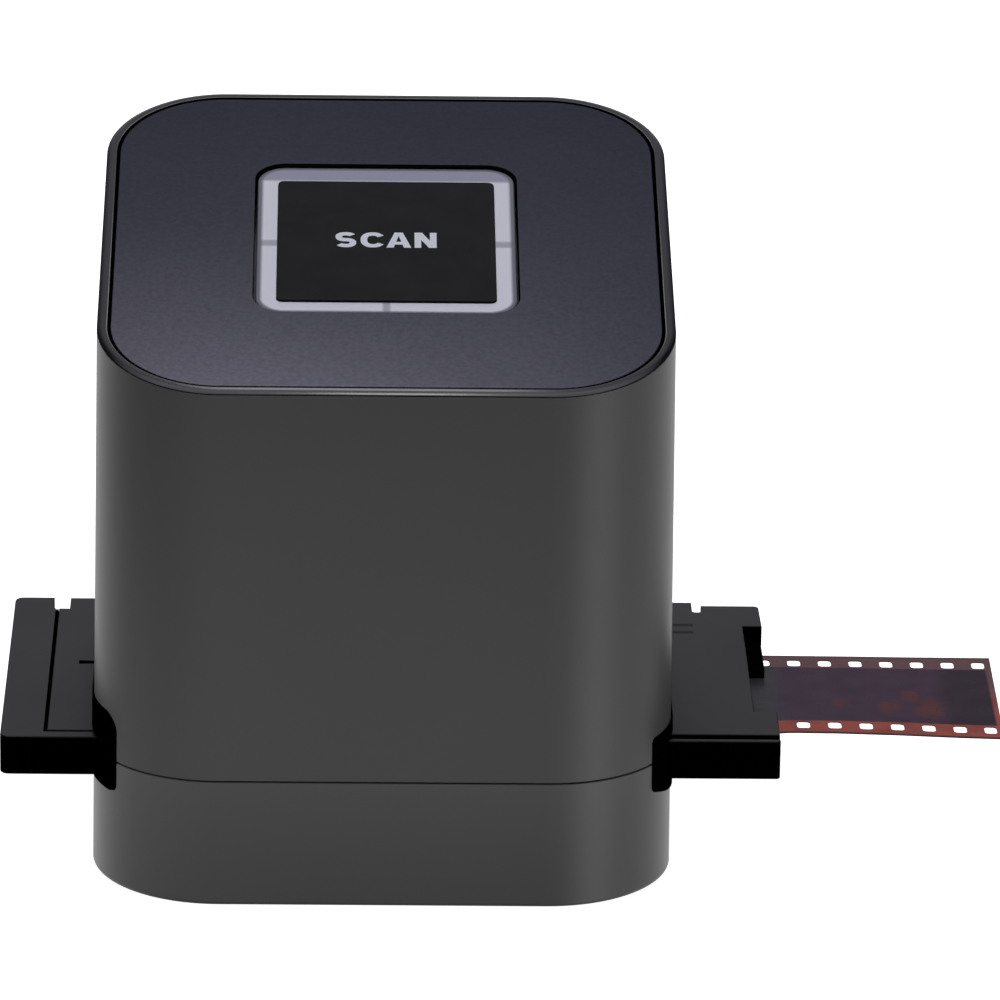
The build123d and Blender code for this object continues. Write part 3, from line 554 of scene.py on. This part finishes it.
def letter_shapes(h, t):
    """polygons of the four extended letters in their own widths, height h, stroke t; (name, x0, x1, polygons)"""
    k = t / 2
    x0, x1 = -7.62, -4.50
    w = x1 - x0
    m, r1 = h / 2, (h / 2 - k) / 2
    cx, rx = w / 2, w / 2 - k
    path = arc(cx, m + r1, rx, r1, 28, 180) + arc(cx, m + r1, rx, r1, 186, 262)[0:] + [(cx, m)] + arc(cx, m - r1, rx, r1, 82, 6) + arc(cx, m - r1, rx, r1, 0, -152)
    yield "S", x0, stroke(path, k)
    x0, x1 = -3.88, -0.20
    w = x1 - x0
    yield "C", x0, stroke(arc(w / 2 + 0.02, m, w / 2 - k, m - k, 33, 327, 40), k)
    x0, x1 = 0.00, 3.72
    w = x1 - x0
    s_ = t * 1.10
    yield "A", x0, [[(0, 0), (s_, 0), (w / 2 + 0.02, h * 0.80), (w / 2, h), (w / 2 - s_ * 0.56, h)],
                    [(w, 0), (w - s_, 0), (w / 2 - 0.02, h * 0.80), (w / 2, h), (w / 2 + s_ * 0.56, h)],
                    [(w * 0.20, h * 0.20), (w * 0.80, h * 0.20), (w * 0.72, h * 0.20 + t * 0.85), (w * 0.28, h * 0.20 + t * 0.85)]]
    x0, x1 = 4.22, 7.52
    w = x1 - x0
    yield "N", x0, [[(0, 0), (t, 0), (t, h), (0, h)], [(w - t, 0), (w, 0), (w, h), (w - t, h)],
                    [(0, h), (t * 1.15, h), (w, 0), (w - t * 1.15, 0)]]


def legend():
    t = Tree("printed_white")
    f = t.noise(2200.0, 3.0)
    t.set(color=t.mix(t.remap(f, 0.3, 0.7, 0.0, 1.0), (0.92, 0.95, 0.99), (0.96, 0.98, 1.0)), rough=t.remap(f, 0.3, 0.7, 0.45, 0.6), spec=0.2)
    for name, x0, polys in letter_shapes(4.46, 1.00):
        bm = bmesh.new()
        for n, poly in enumerate(polys):
            lift = PLATE_TOP + 0.000012 + 0.0000002 * (n % 7)
            ring_ = [bm.verts.new(TOP @ Vector(((x0 + px) * MM, (42.88 + py) * MM, lift))) for px, py in poly]
            face = bm.faces.new(ring_)
            face.normal_update()
            if face.normal.z < 0:
                face.normal_flip()
        me = bpy.data.meshes.new("scan_legend_" + name)
        bm.to_mesh(me)
        bm.free()
        o = bpy.data.objects.new("scan_legend_" + name, me)
        bpy.context.scene.collection.objects.link(o)
        me.materials.append(t.mat)
        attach(o, "button")


legend()

# ------------------------------------------------------------------ stage
fl = bpy.data.meshes.new("floor")
bm = bmesh.new()
bmesh.ops.create_grid(bm, x_segments=8, y_segments=8, size=6.0)
# pale backdrop standing round the floor, for views from low down
lower_ring = [bm.verts.new((5.9 * math.cos(math.pi * i / 24), 5.9 * math.sin(math.pi * i / 24), 0.0)) for i in range(48)]
upper_ring = [bm.verts.new((v.co.x, v.co.y, 6.0)) for v in lower_ring]
for i in range(48):
    bm.faces.new((lower_ring[i], lower_ring[(i + 1) % 48], upper_ring[(i + 1) % 48], upper_ring[i]))
bm.to_mesh(fl)
bm.free()
floor = bpy.data.objects.new("floor", fl)
bpy.context.scene.collection.objects.link(floor)
floor.location.z = -0.0002
t = Tree("pale_floor")
f = t.noise(3.0, 2.0)
t.set(color=t.mix(f, (0.88, 0.88, 0.88), (0.92, 0.92, 0.92)), rough=0.8, spec=0.1, emit=(1.0, 1.0, 1.0), emit_strength=1.0)
fl.materials.append(t.mat)
floor.visible_glossy = False
floor.visible_diffuse = False
floor.visible_transmission = False
floor.visible_shadow = False

# studio surround: a function of the world direction only
world = bpy.data.worlds.new("studio")
bpy.context.scene.world = world
world.use_nodes = True
wt = world.node_tree
wt.nodes.clear()


def wn(kind, **props):
    n = wt.nodes.new(kind)
    for k, v in props.items():
        setattr(n, k, v)
    return n


def wmath(op, a, b=None):
    n = wn("ShaderNodeMath", operation=op)
    for i, v in enumerate((a, b)):
        if v is None:
            continue
        if hasattr(v, "is_output"):
            wt.links.new(v, n.inputs[i])
        else:
            n.inputs[i].default_value = v
    return n.outputs[0]


def wramp(value, lo, hi, stops):
    """piecewise curve of a value; stops are (value, level)"""
    m = wn("ShaderNodeMapRange")
    wt.links.new(value, m.inputs["Value"])
    m.inputs["From Min"].default_value, m.inputs["From Max"].default_value = lo, hi
    rp = wn("ShaderNodeValToRGB")
    wt.links.new(m.outputs["Result"], rp.inputs[0])
    el = rp.color_ramp.elements
    while len(el) > 1:
        el.remove(el[-1])
    for i, (v, g) in enumerate(stops):
        k = el[0] if i == 0 else el.new((v - lo) / (hi - lo))
        k.position = (v - lo) / (hi - lo)
        k.color = (g, g, g, 1.0) if not isinstance(g, tuple) else (*g, 1.0)
    return rp.outputs[0]


tc = wn("ShaderNodeTexCoord")
sp = wn("ShaderNodeSeparateXYZ")
wt.links.new(tc.outputs["Generated"], sp.inputs[0])
azimuth = wmath("ARCTAN2", sp.outputs[0], sp.outputs[1])      # 0 towards the rear, positive to the right
elevation = wmath("ARCSINE", sp.outputs[2])
D = math.pi / 180.0
FRONT = 0.06
low_az = wramp(azimuth, -math.pi, math.pi, [(a * D, g) for a, g in (
    (-180, FRONT), (-120, 0.06), (-95, 0.12), (-80, 0.38), (-62, 0.72), (-44, 1.0), (-20, 1.15), (20, 1.15), (40, 1.08), (64, 0.90),
    (84, 0.66), (105, 0.58), (116, 0.75), (124, 1.95), (143, 2.15), (152, 0.55), (165, FRONT), (180, FRONT))])
high_az = wramp(azimuth, -math.pi, math.pi, [(a * D, g) for a, g in (
    (-180, 0.06), (-120, 0.06), (-60, 0.03), (-30, 0.05), (-16, 0.50), (0, 0.60), (16, 0.50), (30, 0.05), (60, 0.03), (120, 0.06), (180, 0.06))])
low_mask = wramp(elevation, -math.pi / 2, math.pi / 2, [(a * D, g) for a, g in ((-90, 0.2), (-60, 0.45), (-40, 1.08), (-18, 1.08), (-12, 0.85), (-6, 0.05), (3, 0.0), (90, 0.0))])
high_mask = wramp(elevation, -math.pi / 2, math.pi / 2, [(a * D, g) for a, g in ((-90, 0.0), (-4, 0.0), (6, 0.9), (40, 1.0), (62, 0.5), (75, 0.0), (90, 0.0))])
top_mask = wramp(elevation, -math.pi / 2, math.pi / 2, [(a * D, g) for a, g in ((-90, 0.0), (50, 0.0), (68, 1.0), (90, 1.0))])
total = wmath("ADD", wmath("ADD", wmath("MULTIPLY", low_az, low_mask), wmath("MULTIPLY", high_az, high_mask)), wmath("MULTIPLY", top_mask, 1.62))
tint = wn("ShaderNodeCombineColor")
wt.links.new(total, tint.inputs[0])
wt.links.new(total, tint.inputs[1])
wt.links.new(wmath("MULTIPLY", total, wmath("ADD", wmath("MULTIPLY", wmath("GREATER_THAN", elevation, 0.0), 0.10), 1.0)), tint.inputs[2])
bg = wn("ShaderNodeBackground")
wt.links.new(tint.outputs[0], bg.inputs["Color"])
bg.inputs["Strength"].default_value = 1.0
wo = wn("ShaderNodeOutputWorld")
wt.links.new(bg.outputs[0], wo.inputs[0])


def area(name, loc, target, size, power, size_y=None, color=(1, 1, 1), spread=math.pi, only=None, glossy=True):
    li = bpy.data.lights.new(name, "AREA")
    li.energy = power
    li.color = color
    li.shape = "RECTANGLE"
    li.size = size
    li.size_y = size_y or size
    li.spread = spread
    o = bpy.data.objects.new(name, li)
    bpy.context.scene.collection.objects.link(o)
    o.location = loc
    d = Vector(target) - Vector(loc)
    o.rotation_euler = d.to_track_quat("-Z", "Y").to_euler()
    o.visible_camera = False
    o.visible_glossy = glossy
    if only:
        c = bpy.data.collections.new("lit_by_" + name)
        for q in only:
            c.objects.link(q)
        o.light_linking.receiver_collection = c
    return o


upper, lower = [NODES["upper_housing"]], [NODES["base_housing"]]
area("panel_key", (-0.018, -0.083, 0.116), (-0.006, -0.03, 0.085), 0.080, 0.138, 0.03, color=(1.0, 0.98, 0.80), only=[NODES["top_panel"]], glossy=False)
area("front_low", (0.0, -0.19, 0.0), (0.0, -0.044, 0.02), 0.26, 0.085, 0.05, only=upper, glossy=False)
area("left_low", (-0.15, -0.075, 0.0), (-0.043, -0.02, 0.03), 0.03, 0.06, 0.03, only=upper, glossy=False)
area("base_key", (0.0, -0.074, 0.050), (0.0, -0.044, 0.014), 0.24, 0.035, 0.015, only=lower, glossy=False)
area("base_left", (-0.16, -0.075, 0.03), (-0.043, -0.02, 0.01), 0.04, 0.085, 0.03, only=lower, glossy=False)
area("rim_sheen", (-0.002, 0.168, 0.292), (-0.002, -0.044, 0.08), 0.060, 0.034, 0.07, only=[rim_ring])
area("rim_glint", (0.0045, -0.012, 0.380), (0.0045, -0.044, 0.08), 0.027, 0.06, 0.08, only=[rim_ring])

# ------------------------------------------------------------------ camera
yaw, pitch, roll = math.radians(1.3028), math.radians(19.3493), math.radians(-0.88034)
fwd = Vector((math.sin(yaw) * math.cos(pitch), math.cos(yaw) * math.cos(pitch), -math.sin(pitch)))
right = Vector((math.cos(yaw), -math.sin(yaw), 0.0))
down = fwd.cross(right)
c, s = math.cos(roll), math.sin(roll)
r2 = c * right + s * down
d2 = -s * right + c * down
cam = bpy.data.cameras.new("camera")
cam.sensor_fit = "HORIZONTAL"
cam.sensor_width = 36.0
cam.lens = 7926.0 / 1000.0 * 36.0
cam.clip_start, cam.clip_end = 0.05, 50.0
camera = bpy.data.objects.new("camera", cam)
bpy.context.scene.collection.objects.link(camera)
rot = Matrix((r2, -d2, -fwd)).transposed()
camera.matrix_world = Matrix.Translation((-0.008135, -1.13200, 0.44672)) @ rot.to_4x4()
bpy.context.scene.camera = camera
bpy.context.scene.view_settings.view_transform = "Standard"
